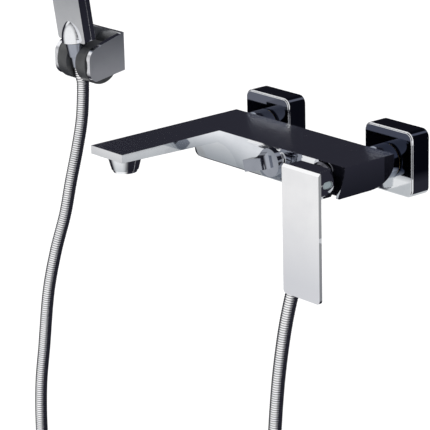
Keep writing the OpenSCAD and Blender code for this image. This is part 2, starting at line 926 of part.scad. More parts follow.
module outlet_seal() {
    color("dimgray")
        difference() {
            zcyl(diverter_x, -shower_outlet_y, outlet_collar, -body_bottom, hose_nut_r - 0.6);
            zcyl(diverter_x, -shower_outlet_y, -body_bottom - 2, -body_bottom + eps, hose_thread_r - 0.8);
        }
}

module outlet_washer() {
    color("dimgray")
        difference() {
            zcyl(diverter_x, -shower_outlet_y, hose_flange_top, nipple_end, hose_thread_r - 0.8);
            zcyl(diverter_x, -shower_outlet_y, hose_flange_top - eps, nipple_end + eps, 5);
        }
}

module hose_nut() {
    cone_top = hose_nut_end + hose_nut_cone_h;
    color("silver")
        difference() {
            union() {
                zcyl(diverter_x, -shower_outlet_y, cone_top, hose_nut_top, hose_nut_r);
                zcyl(diverter_x, -shower_outlet_y, hose_nut_end, cone_top, hose_nut_r - 2.4, hose_nut_r);
            }
            zcyl(diverter_x, -shower_outlet_y, hose_flange_top - hose_flange_t, hose_nut_top + eps,
                 hose_thread_r + seat_gap);
            zcyl(diverter_x, -shower_outlet_y, hose_nut_end - eps, hose_nut_top, ferrule_r + 0.2);
        }
}

// Flanged neck inside the nut, with a round bead below it where the hose starts
module outlet_ferrule() {
    color("silver")
        difference() {
            union() {
                zcyl(diverter_x, -shower_outlet_y, hose_flange_top - hose_flange_t, hose_flange_top,
                     hose_thread_r - 0.6);
                zcyl(diverter_x, -shower_outlet_y, hose_top, hose_flange_top - 1, ferrule_r);
                zcyl(diverter_x, -shower_outlet_y, hose_top, hose_nut_end - 0.4, bead_r - 0.6, bead_r);
            }
            zcyl(diverter_x, -shower_outlet_y, hose_top - 1, hose_flange_top + eps, 4);
        }
}

function unit(v) = v / norm(v);

// Direction of the hose at point i of a route
function heading(p, i) = unit(p[min(i + 1, len(p) - 1)] - p[max(i - 1, 0)]);

// Smooth curve through four points of the route
function blend4(a, b, c, d, t) =
    0.5 * (2 * b + (c - a) * t + (2 * a - 5 * b + 4 * c - d) * t * t + (3 * b - a - 3 * c + d) * t * t * t);

function fine(p, n) = concat(
    [for (i = [0 : len(p) - 2], k = [0 : n - 1])
        blend4(p[max(i - 1, 0)], p[i], p[i + 1], p[min(i + 2, len(p) - 1)], k / n)],
    [p[len(p) - 1]]
);

function ring(c, h) =
    let (s = unit(cross(h, [0, 1, 0.001])), u = cross(s, h))
    [for (k = [0 : HOSE_SIDES - 1])
        c + hose_r * (cos(360 * k / HOSE_SIDES) * s + sin(360 * k / HOSE_SIDES) * u)];

module swept_tube(p) {
    n = len(p);
    m = HOSE_SIDES;
    points = [for (i = [0 : n - 1]) each ring(p[i], heading(p, i))];
    sides = [for (i = [0 : n - 2], k = [0 : m - 1])
        [i * m + k, i * m + (k + 1) % m, (i + 1) * m + (k + 1) % m, (i + 1) * m + k]];
    ends = [[for (k = [m - 1 : -1 : 0]) k], [for (k = [0 : m - 1]) (n - 1) * m + k]];
    polyhedron(points = points, faces = concat(sides, ends));
}

module shower_hose() {
    color("lightgray")
        swept_tube(fine(concat(
            [for (p = HOSE_START) [diverter_x, -shower_outlet_y, hose_top] + p],
            HOSE_LOOP,
            [for (d = HOSE_FINISH) [bracket_mid, -cone_y, cone_z]
                + (hose_end + d) * [0, sin(shower_lean), -cos(shower_lean)]]
        ), 2));
}

module cone_nut() {
    color("silver")
        on_shower_axis()
            difference() {
                translate([0, 0, seat_top - cone_len])
                    cylinder(h = cone_len, r1 = cone_low_r, r2 = cone_top_r);
                translate([0, 0, seat_top - cone_len + 3])
                    cylinder(h = cone_len, r = 8.2);
                translate([0, 0, seat_top - cone_len - 1])
                    cylinder(h = cone_len, r = hose_r - 0.9);
            }
}

module cone_washer() {
    color("dimgray")
        on_shower_axis()
            difference() {
                translate([0, 0, seat_top - cone_len + 3.4])
                    cylinder(h = hose_washer_t, r = 8);
                translate([0, 0, seat_top - cone_len + 3])
                    cylinder(h = hose_washer_t + 1, r = hose_r - 1.6);
            }
}

module cone_ferrule() {
    color("silver")
        on_shower_axis()
            difference() {
                union() {
                    translate([0, 0, seat_top - cone_len - collar_len])
                        cylinder(h = collar_len - 0.3, r1 = collar_r - 0.6, r2 = collar_r);
                    translate([0, 0, seat_top - cone_len - 1])
                        cylinder(h = 4.4, r = hose_r - 1.1);
                }
                translate([0, 0, seat_top - cone_len - collar_len - 1])
                    cylinder(h = collar_len + 8, r = hose_r - 2.2);
            }
}

// ---------------------------------------------------------------- hand shower

// Slab between two depths, measured from the middle of its thickness, front negative
module slab(from, to, inset) {
    translate([0, slab_back, slab_start + shower_l / 2])
        translate([0, (from + to) / 2, 0])
            rotate([90, 0, 0])
                linear_extrude(to - from, center = true)
                    round_rect(shower_w - 2 * inset, shower_l - 2 * inset, shower_round);
}

module shower_back_shell() {
    color("silver")
        on_shower_axis()
            difference() {
                slab(seam, shower_t / 2, 0);
                slab(seam - 1, shower_t / 2 - shell_wall, shell_wall);
                translate([0, 0, slab_start - 1])
                    cylinder(h = 13, r = shower_tube_r);
            }
}

// Round-topped neck that fills the lower end of the hand shower
module neck_dome() {
    translate([0, 0, slab_start])
        rotate_extrude()
            polygon(concat([[0, 0]],
                [for (a = [0 : 10 : 80]) [neck_r * cos(a), neck_h * sin(a)]], [[0, neck_h * sin(80)]]));
}

module shower_front_shell() {
    color("silver")
        on_shower_axis()
            difference() {
                union() {
                    slab(-shower_t / 2, seam, 0);
                    intersection() {
                        neck_dome();
                        translate([-20, -20, slab_start])
                            cube([40, 20 + slab_back, neck_h]);
                    }
                }
                difference() {
                    slab(-shower_t / 2 + shell_wall, seam + 1, shell_wall);
                    neck_dome();
                }
                translate([0, 0, slab_start - 1])
                    cylinder(h = 13, r = shower_tube_r);
                translate([0, 0, slab_start])
                    cylinder(h = neck_h + 8, r = 4);
                // Window of the spray plate
                translate([0, slab_back - shower_t / 2, slab_start + shower_l - spray_l / 2 - 6])
                    rotate([90, 0, 0])
                        linear_extrude(2 * shell_wall + 1, center = true)
                            round_rect(spray_w + 2 * seat_gap, spray_l + 2 * seat_gap, 3);
            }
}

module shower_inlet() {
    color("goldenrod")
        on_shower_axis()
            difference() {
                union() {
                    translate([0, 0, slab_start - 0.5])
                        cylinder(h = 12, r = shower_tube_r - seat_gap);
                    translate([0, 0, seat_top - cone_len + 5.5])
                        cylinder(h = slab_start - seat_top + cone_len - 5.6, r = 8);
                }
                cylinder(h = 50, r = shower_bore_r);
            }
}

module flow_restrictor() {
    color("royalblue")
        on_shower_axis()
            difference() {
                translate([0, 0, slab_start + 1])
                    cylinder(h = 4, r = shower_bore_r - seat_gap);
                for (a = [0 : 60 : 300])
                    translate([2.6 * cos(a), 2.6 * sin(a), slab_start])
                        cylinder(h = 6, r = 0.7);
            }
}

module spray_plate() {
    color("gainsboro")
        on_shower_axis()
            difference() {
                translate([0, slab_back - shower_t / 2 + 1, slab_start + shower_l - spray_l / 2 - 6])
                    rotate([90, 0, 0])
                        linear_extrude(2, center = true)
                            round_rect(spray_w, spray_l, 3);
                nozzle_spots()
                    cylinder(h = 6, r = nozzle_r + seat_gap, center = true);
            }
}

// Places its children at every nozzle, pointing out of the front
module nozzle_spots() {
    rows = 9;
    for (i = [0 : rows - 1], j = [-1 : 1])
        translate([j * 9, slab_back - shower_t / 2 + 1,
                   slab_start + shower_l - 6 - spray_l * (i + 0.5) / rows + (j == 0 ? 0 : 2.5)])
            rotate([90, 0, 0])
                children();
}

module spray_nozzles() {
    color("dimgray")
        on_shower_axis()
            nozzle_spots() {
                difference() {
                    translate([0, 0, -1.6])
                        cylinder(h = 3.4, r1 = nozzle_r, r2 = nozzle_r - 0.25, $fn = 16);
                    cylinder(h = 6, r = 0.5, $fn = 13);
                }
            }
}

// ---------------------------------------------------------------- bracket

// Side outline of a cheek: first coordinate is the distance from the wall, second is height
module cheek_outline() {
    polygon([
        [0, bracket_low], [0, bracket_high], [cheek_front, cheek_top_front - 1.5],
        [cheek_front, cheek_low_front], [cheek_front - 8, cheek_low_front],
    ]);
}

module cheek(x) {
    intersection() {
        translate([x, 0, 0])
            rotate([90, 0, -90])
                translate([0, 0, -cheek_t])
                    linear_extrude(cheek_t)
                        cheek_outline();
        // Round front end
        union() {
            box([x - 1, -cheek_front + 14, -10], [x + cheek_t + 1, 1, 60]);
            box([x - 1, -cheek_front - 1, 10], [x + cheek_t + 1, -cheek_front + 20, 21]);
            xcyl(-cheek_front + 11, 10.5, x - 1, x + cheek_t + 1, 11);
            xcyl(-cheek_front + 13, 20.5, x - 1, x + cheek_t + 1, 13);
        }
    }
}

module bracket_frame() {
    color("silver")
        difference() {
            union() {
                cheek(bracket_left);
                cheek(bracket_right - cheek_t);
                box([bracket_left + 1, -bracket_back_t, bracket_low], [bracket_right - 1, 0, bracket_high]);
            }
            // Recess of the wall plate, blind holes of the pivot pins and the hole of the grub screw
            box([bracket_mid - wall_plate_w / 2 - 0.3, -wall_plate_t - 0.2,
                 bracket_screw_z - wall_plate_h / 2 - 0.3],
                [bracket_mid + wall_plate_w / 2 + 0.3, eps, bracket_screw_z + wall_plate_h / 2 + 0.3]);
            xcyl(-core_y, core_z, bracket_left + cheek_t - pivot_pin_out - 0.2,
                 bracket_right - cheek_t + pivot_pin_out + 0.2, pivot_pin_big_r + seat_gap);
            zcyl(bracket_mid, -bracket_back_t / 2, bracket_low - eps, bracket_screw_z, grub_r + seat_gap);
        }
}

module bracket_core() {
    half = core_w / 2;
    color("dimgray")
        difference() {
            intersection() {
                xcyl(-core_y, core_z, bracket_mid - half, bracket_mid + half, core_r);
                on_shower_axis()
                    translate([-half, -30, -40])
                        cube([2 * half, 60, 40 + seat_top - 4]);
            }
            for (s = [-1, 1])
                xcyl(-core_y, core_z, bracket_mid + s * (half - pivot_pin_in / 2) - pivot_pin_in / 2 - eps,
                     bracket_mid + s * (half - pivot_pin_in / 2) + pivot_pin_in / 2 + eps,
                     pivot_pin_big_r + run_gap);
            on_shower_axis() {
                // Conical seat, hose passage and the slot at the front
                translate([0, 0, seat_top - cone_len - 0.01])
                    cylinder(h = cone_len + 0.02, r1 = cone_low_r + 0.15, r2 = cone_top_r + 0.15);
                translate([0, 0, -40])
                    cylinder(h = 40 + seat_top - cone_len, r = collar_r + 0.5);
                translate([-slot_w / 2, -30, -40])
                    cube([slot_w, 30, 80]);
            }
        }
}

// Spring-out pins between the cheeks and the core
module pivot_pins() {
    inner = core_w / 2 - pivot_pin_in;
    outer = bracket_w / 2 - cheek_t + pivot_pin_out;
    color("gray")
        for (s = [-1, 1])
            xcyl(-core_y, core_z, bracket_mid + (s < 0 ? -outer : inner),
                 bracket_mid + (s < 0 ? -inner : outer), pivot_pin_big_r);
}

module friction_washers() {
    color("black")
        for (s = [-1, 1])
            translate([bracket_mid + s * (core_w / 2 + 0.15 + friction_t / 2), -core_y, core_z])
                rotate([0, 90, 0])
                    difference() {
                        cylinder(h = friction_t, r = 8, center = true);
                        cylinder(h = 2, r = pivot_pin_big_r + seat_gap, center = true);
                    }
}

// Plate that is screwed to the wall first; the bracket hangs over it
module bracket_wall_plate() {
    color("gray")
        difference() {
            box([bracket_mid - wall_plate_w / 2, -wall_plate_t, bracket_screw_z - wall_plate_h / 2],
                [bracket_mid + wall_plate_w / 2, 0, bracket_screw_z + wall_plate_h / 2]);
            for (j = [-1, 1]) {
                z = bracket_screw_z + j * wall_screw_pitch / 2;
                ycyl(bracket_mid, z, -eps, wall_plate_t + eps, wall_hole_r);
                ycyl(bracket_mid, z, 0.3, wall_plate_t + 0.01, wall_hole_r, wall_sink_r);
            }
        }
}

module bracket_grub_screw() {
    color("gray")
        zcyl(bracket_mid, -bracket_back_t / 2, bracket_low + 0.3, bracket_screw_z - wall_plate_h / 2 - 0.5,
             grub_r);
}

valve_body();
aerator_housing();
aerator_insert();
aerator_washer();
hot_union();
cold_union();
hot_wall_plate();
cold_wall_plate();
wall_plate_seals();
hot_union_nut();
cold_union_nut();
hot_tailpiece();
cold_tailpiece();
filter_washers();
hot_check_housing();
cold_check_housing();
hot_check_poppet();
cold_check_poppet();
cartridge_housing();
cartridge_seal();
fixed_disc();
moving_disc();
disc_carrier();
cartridge_rotor();
pivot_pin();
lever_stem();
retaining_nut();
dome_cap();
lever_handle();
lever_screw();
lever_screw_cap();
diverter_sleeve();
diverter_spindle();
diverter_seals();
diverter_knob();
knob_screw();
outlet_nipple();
outlet_seal();
outlet_washer();
hose_nut();
outlet_ferrule();
shower_hose();
cone_nut();
cone_washer();
cone_ferrule();
shower_back_shell();
shower_front_shell();
shower_inlet();
flow_restrictor();
spray_plate();
spray_nozzles();
bracket_frame();
bracket_core();
pivot_pins();
friction_washers();
bracket_wall_plate();
bracket_grub_screw();
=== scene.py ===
import bpy
import json
import math
from mathutils import Matrix, Vector


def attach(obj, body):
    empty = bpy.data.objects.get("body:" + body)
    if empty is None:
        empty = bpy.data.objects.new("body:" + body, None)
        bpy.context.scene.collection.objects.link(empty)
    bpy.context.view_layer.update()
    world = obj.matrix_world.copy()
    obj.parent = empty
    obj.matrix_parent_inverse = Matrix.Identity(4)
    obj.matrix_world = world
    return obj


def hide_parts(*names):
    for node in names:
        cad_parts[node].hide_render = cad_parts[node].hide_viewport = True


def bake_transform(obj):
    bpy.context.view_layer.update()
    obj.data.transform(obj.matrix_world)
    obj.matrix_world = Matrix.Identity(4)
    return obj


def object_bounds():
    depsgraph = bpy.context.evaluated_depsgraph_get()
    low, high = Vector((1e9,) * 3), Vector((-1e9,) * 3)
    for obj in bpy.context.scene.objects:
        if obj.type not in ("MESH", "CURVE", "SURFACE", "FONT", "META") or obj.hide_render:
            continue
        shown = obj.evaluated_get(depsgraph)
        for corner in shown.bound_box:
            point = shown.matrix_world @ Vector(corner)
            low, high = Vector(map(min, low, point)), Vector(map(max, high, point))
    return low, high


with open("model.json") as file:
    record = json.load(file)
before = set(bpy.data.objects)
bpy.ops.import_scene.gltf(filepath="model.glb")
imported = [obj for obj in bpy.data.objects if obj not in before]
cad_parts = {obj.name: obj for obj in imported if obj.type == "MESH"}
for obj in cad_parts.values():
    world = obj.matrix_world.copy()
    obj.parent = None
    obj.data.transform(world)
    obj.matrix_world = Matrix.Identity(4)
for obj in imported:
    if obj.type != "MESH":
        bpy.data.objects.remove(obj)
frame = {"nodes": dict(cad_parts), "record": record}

cad_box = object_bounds()
BODIES = frame["record"]["behaviour"]["bodies"]
SLOT_OF = {part["node"]: part["material_slot"] for part in frame["record"]["subparts"]}
MM = 0.001


# ---------------------------------------------------------------- camera

CAMERA_AT = (1.41984, -1.33351, 0.55847)
CAMERA_ANGLES = (50.06, 17.82, -1.41)  # turn, rise and roll, in degrees
LENS = 198.2
SENSOR = 36


def add_camera():
    """Stands to the right of the faucet and a little above it, with a long lens."""
    turn, rise, roll = (math.radians(angle) for angle in CAMERA_ANGLES)
    back = Vector((math.sin(turn) * math.cos(rise), -math.cos(turn) * math.cos(rise), math.sin(rise)))
    level = Vector((math.cos(turn), math.sin(turn), 0))
    lift = back.cross(level)
    right = level * math.cos(roll) + lift * math.sin(roll)
    up = lift * math.cos(roll) - level * math.sin(roll)
    data = bpy.data.cameras.new("camera")
    data.sensor_width = SENSOR
    data.lens = LENS
    data.clip_start = 0.05
    data.clip_end = 60
    camera = bpy.data.objects.new("camera", data)
    bpy.context.scene.collection.objects.link(camera)
    turned = Matrix((right, up, back)).transposed().to_4x4()
    camera.matrix_world = Matrix.Translation(CAMERA_AT) @ turned
    bpy.context.scene.camera = camera


add_camera()


# ---------------------------------------------------------------- finishes

class Value:
    """A shader value that can be used in arithmetic."""

    def __init__(self, finish, socket):
        self.finish = finish
        self.socket = socket

    def math(self, operation, *others):
        inputs = dict(enumerate((self, *others)))
        return self.finish.node("ShaderNodeMath", {"operation": operation}, inputs)

    def __add__(self, other):
        return self.math("ADD", other)

    def __mul__(self, other):
        return self.math("MULTIPLY", other)

    def __sub__(self, other):
        return self.math("SUBTRACT", other)

    def __rsub__(self, other):
        return self.finish.node("ShaderNodeMath", {"operation": "SUBTRACT"}, {0: other, 1: self})

    __radd__ = __add__
    __rmul__ = __mul__

    def step(self, low, high, to_low=0.0, to_high=1.0):
        """Goes from to_low to to_high while this value goes from low to high."""
        names = {"From Min": low, "From Max": high, "To Min": to_low, "To Max": to_high}
        return self.finish.node("ShaderNodeMapRange", {}, {"Value": self, **names})


class Tree:
    """A shader node tree that is built up value by value."""

    def __init__(self, tree):
        self.tree = tree

    def node(self, kind, settings=None, inputs=None, output=0):
        """Adds any node: its settings first, then the values or links of its sockets."""
        new = self.tree.nodes.new(kind)
        for name, value in (settings or {}).items():
            setattr(new, name, value)
        for name, value in (inputs or {}).items():
            self.plug(new.inputs[name], value)
        return Value(self, new.outputs[output])

    def plug(self, socket, value):
        """Links a value to a socket, or sets a plain number or colour on it."""
        if isinstance(value, Value):
            self.tree.links.new(value.socket, socket)
        else:
            socket.default_value = value

    def mix(self, amount, low, high):
        """From one colour to the other as amount goes from 0 to 1, by the node's colour sockets."""
        low, high = ((*tone, 1) if isinstance(tone, tuple) else tone for tone in (low, high))
        return self.node("ShaderNodeMix", {"data_type": "RGBA"}, {0: amount, 6: low, 7: high}, output=2)


class Finish(Tree):
    """A material under construction, with its surface shader at hand."""

    def __init__(self, name):
        self.material = bpy.data.materials.new(name)
        self.material.use_nodes = True
        super().__init__(self.material.node_tree)
        self.surface = self.tree.nodes["Principled BSDF"]

    def set(self, **uniform):
        """Sets numbers that are the same all over the surface."""
        for name, value in uniform.items():
            self.surface.inputs[name.replace("_", " ")].default_value = value
        return self

    def drive(self, name, value):
        """Lets a value that changes over the surface feed one of its inputs."""
        self.plug(self.surface.inputs[name], value)
        return self

    def place(self, stretch=(1, 1, 1)):
        """Position on the piece, stretched along its axes."""
        spot = self.node("ShaderNodeTexCoord", output="Object")
        if stretch == (1, 1, 1):
            return spot
        return self.node("ShaderNodeMapping", {}, {"Vector": spot, "Scale": stretch})

    def along(self, axis):
        """Position along X, Y or Z, in metres."""
        return self.node("ShaderNodeSeparateXYZ", {}, {0: self.place()}, output=axis)

    def noise(self, scale, detail=3.0, rough=0.5, stretch=(1, 1, 1)):
        sizes = {"Vector": self.place(stretch), "Scale": scale, "Detail": detail, "Roughness": rough}
        return self.node("ShaderNodeTexNoise", {}, sizes)

    def bump(self, height, strength, distance):
        names = {"Height": height, "Strength": strength, "Distance": distance}
        return self.drive("Normal", self.node("ShaderNodeBump", {}, names))


def plated(name, low, high, gloss, haze=0.03, wave=0.03, shade_fade=None, metal=1.0):
    """Bright plated metal: faint smudges, hairline marks and a slow wave in the surface.

    shade_fade = (axis, from, to, tone): painted shade; the colour darkens to the given tone along an axis.
    """
    f = Finish(name).set(Metallic=metal)
    smudge = f.noise(26, 4, 0.6).step(0.4, 0.75)
    hair = f.noise(420, 2, 0.5, (1, 0.12, 1)).step(0.58, 0.72)
    colour = f.mix(smudge, high, low)
    # Painted shade: the colour darkens to the given tone along one axis.
    if shade_fade:
        axis, start, end, tone = shade_fade
        colour = f.mix(f.along(axis).step(start, end), colour, tone)
    f.drive("Base Color", colour)
    f.drive("Roughness", smudge * haze + hair * (haze * 0.6) + gloss)
    slow = f.noise(14.0, 1, 0.3)
    fine = f.noise(650, 2, 0.5)
    return f.bump(slow + fine * 0.01, wave, 0.0012).material


def turned(name, low, high, gloss):
    """Machined metal with fine tool marks."""
    f = Finish(name).set(Metallic=1.0)
    stain = f.noise(60, 4, 0.6)
    marks = f.noise(900, 3, 0.6, (0.15, 1, 0.15))
    f.drive("Base Color", f.mix(stain.step(0.35, 0.7), high, low))
    f.drive("Roughness", marks * 0.2 + stain * 0.1 + gloss)
    return f.bump(marks, 0.12, 0.0003).material


def moulded(name, low, high, rough, grain, depth, coat=0.0):
    """Plastic, ceramic or rubber with a fine surface grain and slight clouding."""
    f = Finish(name).set(Coat_Weight=coat)
    cloud = f.noise(45, 4, 0.6)
    speck = f.noise(grain, 3, 0.6)
    f.drive("Base Color", f.mix(cloud.step(0.35, 0.68), low, high))
    f.drive("Roughness", speck * 0.16 + cloud * 0.08 + rough)
    return f.bump(speck, depth, 0.0003).material


def ribbed(name):
    """Metal hose: bright ribs, with the grooves between them darkened as painted shade by an attribute the
    tube carries.
    """
    f = Finish(name).set(Metallic=1.0)
    seam = f.node("ShaderNodeAttribute", {"attribute_name": "seam"}, output="Fac")
    wear = f.noise(70, 3, 0.6)
    light = f.mix(wear.step(0.4, 0.7), (0.98, 0.98, 0.99), (0.90, 0.91, 0.93))
    # Painted shade in the grooves between the ribs.
    f.drive("Base Color", f.mix(seam, light, (0.10, 0.10, 0.11)))
    f.drive("Roughness", seam * 0.2 + wear * 0.06 + 0.12)
    return f.bump(f.noise(1500, 2, 0.5), 0.06, 0.0002).material


# Darkest and lightest tone of bright plating on metal, and on plastic
BRIGHT = ((0.84, 0.85, 0.88), (0.92, 0.93, 0.95))
BRIGHT_PLASTIC = ((0.78, 0.79, 0.82), (0.88, 0.89, 0.91))
FINISH = {
    "chrome": plated("polished_chrome", *BRIGHT, 0.04),
    "chromed_plastic": plated("chromed_plastic", *BRIGHT_PLASTIC, 0.06),
    "brass": turned("turned_brass", (0.50, 0.38, 0.18), (0.72, 0.58, 0.32), 0.22),
    "steel": turned("plain_steel", (0.36, 0.36, 0.37), (0.58, 0.58, 0.60), 0.25),
    "grey_plastic": moulded("dark_grey_plastic", (0.035, 0.037, 0.04), (0.06, 0.063, 0.066),
                            0.24, 900, 0.15, 0.3),
    "white_plastic": moulded("white_plastic", (0.70, 0.70, 0.67), (0.80, 0.80, 0.78), 0.35, 800, 0.12),
    "blue_plastic": moulded("blue_plastic", (0.05, 0.13, 0.42), (0.08, 0.19, 0.52), 0.35, 800, 0.12),
    "ceramic": moulded("lapped_ceramic", (0.80, 0.78, 0.72), (0.88, 0.87, 0.83), 0.12, 1500, 0.04, 0.4),
    "rubber": moulded("black_rubber", (0.012, 0.012, 0.013), (0.03, 0.03, 0.032), 0.6, 1100, 0.3),
    "grey_rubber": moulded("grey_rubber", (0.09, 0.095, 0.1), (0.14, 0.145, 0.155), 0.55, 1100, 0.3),
}
# Satin finish for the bracket; its tone darkens towards the top as painted shade.
SATIN_PAINTED_SHADE = plated("satin_chrome_painted_shade", (0.36, 0.37, 0.41), (0.44, 0.45, 0.49), 0.34, 0.08, 0.02,
               shade_fade=(2, 0.008, 0.042, (0.20, 0.21, 0.24)), metal=0.6)
SATIN_EDGE = plated("satin_edge", (0.80, 0.81, 0.84), (0.88, 0.89, 0.92), 0.12)
# Painted shade: the body's chrome darkens towards its bottom.
BODY_CHROME_PAINTED_SHADE = plated("body_chrome_painted_shade", *BRIGHT, 0.04,
                     shade_fade=(2, 0.012, -0.009, (0.50, 0.53, 0.56)))
TOP_CHROME = plated("top_chrome", *BRIGHT, 0.2, 0.06)
# Darker copy of the chrome for the union nuts: painted shade.
NUT_CHROME_PAINTED_SHADE = plated("nut_chrome_painted_shade", (0.28, 0.31, 0.38), (0.36, 0.39, 0.46), 0.05)
# Darker copy of the chrome for the knob and the hand shower's nut and ferrule: painted shade.
KNOB_CHROME_PAINTED_SHADE = plated("knob_chrome_painted_shade", (0.28, 0.30, 0.35), (0.36, 0.38, 0.43), 0.05)
EDGE_CHROME = plated("edge_chrome", *BRIGHT, 0.05)
# Darker copies of the chrome for the wall plates, the hot one darker still, both darkening further towards
# the top: painted shade.
HOT_PLATE_CHROME_PAINTED_SHADE = plated("hot_plate_chrome_painted_shade", (0.50, 0.52, 0.56), (0.60, 0.62, 0.66), 0.05,
                          shade_fade=(2, -0.028, -0.018, (0.13, 0.14, 0.18)))
COLD_PLATE_CHROME_PAINTED_SHADE = plated("cold_plate_chrome_painted_shade", (0.74, 0.76, 0.79), (0.84, 0.86, 0.88), 0.05,
                           shade_fade=(2, -0.015, -0.006, (0.08, 0.09, 0.13)))
# Painted shade: the hand shower's plating darkens towards the top.
HANDSET_CHROME_PAINTED_SHADE = plated("handset_chrome_painted_shade", *BRIGHT_PLASTIC, 0.06,
                        shade_fade=(2, 0.045, 0.12, (0.40, 0.42, 0.45)))
# Dark copy of the chrome for the cartridge cap inside its recess: painted shade.
SHADED_CHROME = plated("cap_chrome_painted_shade", (0.10, 0.10, 0.12), (0.14, 0.14, 0.16), 0.08)
COVER = moulded("screw_cover_plastic", (0.22, 0.27, 0.29), (0.27, 0.32, 0.34), 0.25, 900, 0.1)
# Brighter copy of the chrome for the lever as painted highlight, darkening towards the bottom as painted
# shade.
LEVER_CHROME_PAINTED_LIGHT = plated("lever_chrome_painted_light", (0.9, 0.9, 0.92), (0.97, 0.97, 0.98), 0.05,
                      shade_fade=(2, -0.02, -0.085, (0.74, 0.75, 0.79)))


def finish_of(node):
    return FINISH[SLOT_OF[node]]


def body_of(node):
    return next(body for body, nodes in BODIES.items() if node in nodes)


# ---------------------------------------------------------------- hose

HOSE_R = 6 * MM
RIB_PITCH = 2.1 * MM
RIB_DEPTH = 0.42 * MM
RING_SPACING = 0.45 * MM
NECK_RINGS = 70
NECK_GAP = 0.55 * MM
LEAN = math.radians(8)
AXIS = Vector((0, -math.sin(LEAN), math.cos(LEAN)))
HAND_ORIGIN = Vector((-327, -33.5, 15.5)) * MM
HOSE_TOP = Vector((24, -66, -43.2)) * MM
HOSE_LOOP = [
    (23, -70, -80), (20, -76, -108), (15, -82, -145), (11, -86, -184), (8, -88, -220),
    (5, -89, -262), (3, -90, -305), (0, -91, -350), (-6, -92, -400), (-19, -92, -445),
    (-42, -92, -483), (-76, -92, -512), (-118, -92, -531), (-163, -92, -538), (-208, -91, -533),
    (-251, -90, -517), (-288, -89, -491), (-317, -88, -454), (-336, -87, -409), (-343, -86, -355),
    (-342, -85, -305), (-339, -81, -262), (-335, -76, -208), (-331, -68, -167), (-328, -57, -131),
    (-327, -49, -99), (-327, -40, -69), (-327, -33, -40),
]


def smooth_line(points, spacing):
    """Evenly spaced points on the smooth curve through the given ones."""
    steps = 60
    dense = []
    for i in range(len(points) - 1):
        a, b = points[max(i - 1, 0)], points[i]
        c, d = points[i + 1], points[min(i + 2, len(points) - 1)]
        for k in range(steps):
            t = k / steps
            dense.append(0.5 * (2 * b + (c - a) * t + (2 * a - 5 * b + 4 * c - d) * t ** 2
                                + (3 * b - a - 3 * c + d) * t ** 3))
    dense.append(points[-1])
    run = [0.0]
    for p, q in zip(dense, dense[1:]):
        run.append(run[-1] + (q - p).length)
    count = round(run[-1] / spacing)
    line, i = [], 0
    for k in range(count + 1):
        want = run[-1] * k / count
        while i < len(run) - 2 and run[i + 1] < want:
            i += 1
        line.append(dense[i].lerp(dense[i + 1], (want - run[i]) / (run[i + 1] - run[i])))
    return line, run[-1]


def ribbed_tube(name, line, length, radius, sides=14):
    """Tube along a line of points, with one spiral rib that winds from end to end."""
    spacing = length / (len(line) - 1)
    heading = (line[1] - line[0]).normalized()
    side = heading.orthogonal().normalized()
    verts, seams = [], []
    for i, centre in enumerate(line):
        ahead = (line[min(i + 1, len(line) - 1)] - line[max(i - 1, 0)]).normalized()
        side = (side - ahead * side.dot(ahead)).normalized()
        other = ahead.cross(side)
        for k in range(sides):
            angle = 2 * math.pi * k / sides
            phase = (i * spacing / RIB_PITCH - k / sides) % 1.0
            dip = 0.5 - 0.5 * math.cos(2 * math.pi * phase)
            crown = radius - RIB_DEPTH * dip ** 1.5
            # How far into the groove each point lies, stored to paint shade there.
            seam = dip ** 3
            verts.append(centre + crown * (math.cos(angle) * side + math.sin(angle) * other))
            seams.append(seam)
    faces = []
    for first in range(0, (len(line) - 1) * sides, sides):
        for k in range(sides):
            after = (k + 1) % sides
            faces.append((first + k, first + after, first + sides + after, first + sides + k))
    faces.append(tuple(range(sides - 1, -1, -1)))
    faces.append(tuple(range((len(line) - 1) * sides, len(line) * sides)))
    mesh = bpy.data.meshes.new(name)
    mesh.from_pydata(verts, [], faces)
    mesh.attributes.new("seam", "FLOAT", "POINT").data.foreach_set("value", seams)
    mesh.polygons.foreach_set("use_smooth", [True] * len(mesh.polygons))
    mesh.materials.append(RIBBED)
    piece = bpy.data.objects.new(name, mesh)
    bpy.context.scene.collection.objects.link(piece)
    return piece


RIBBED = ribbed("ribbed_metal")


def add_hose():
    end = HAND_ORIGIN - AXIS * 4.5 * MM
    points = [HOSE_TOP + Vector((0, 0, -d)) * MM for d in (0, 8, 16)]
    points += [Vector(p) * MM for p in HOSE_LOOP]
    points += [end - AXIS * d * MM for d in (20, 10, 0)]
    line, length = smooth_line(points, RING_SPACING)
    hose = ribbed_tube("metal_hose", line, length, HOSE_R)
    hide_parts("shower_hose")
    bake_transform(hose)
    line[::20] + [line[-1]]
    # The same hose again inside its last stretch, so that it stays joined when the hand shower lifts
    inner = line[-NECK_RINGS:]
    inner_length = length * (NECK_RINGS - 1) / (len(line) - 1)
    lining = ribbed_tube("hose_neck", inner, inner_length, HOSE_R - NECK_GAP, 12)
    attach(lining, "handset")


add_hose()


# ---------------------------------------------------------------- making pieces

ROUND_ANGLE = math.radians(32)
SMOOTH_ANGLE = math.radians(38)
# The spout, in mm: its sides, tip and reach, then its lower face's height at the tip
# and how far that face drops on its way to the root
SPOUT_SIDES = (-95.8, -54.3)
SPOUT_TIP = -197
SPOUT_REACH = 105
SPOUT_UNDER = 6.8
SPOUT_DROP = 2.7


def only(piece):
    """Makes a piece the one selected and active object."""
    bpy.ops.object.select_all(action="DESELECT")
    piece.select_set(True)
    bpy.context.view_layer.objects.active = piece


def apply_modifier(piece, kind, **settings):
    only(piece)
    modifier = piece.modifiers.new(kind.lower(), kind)
    for name, value in settings.items():
        setattr(modifier, name, value)
    bpy.ops.object.modifier_apply(modifier=modifier.name)


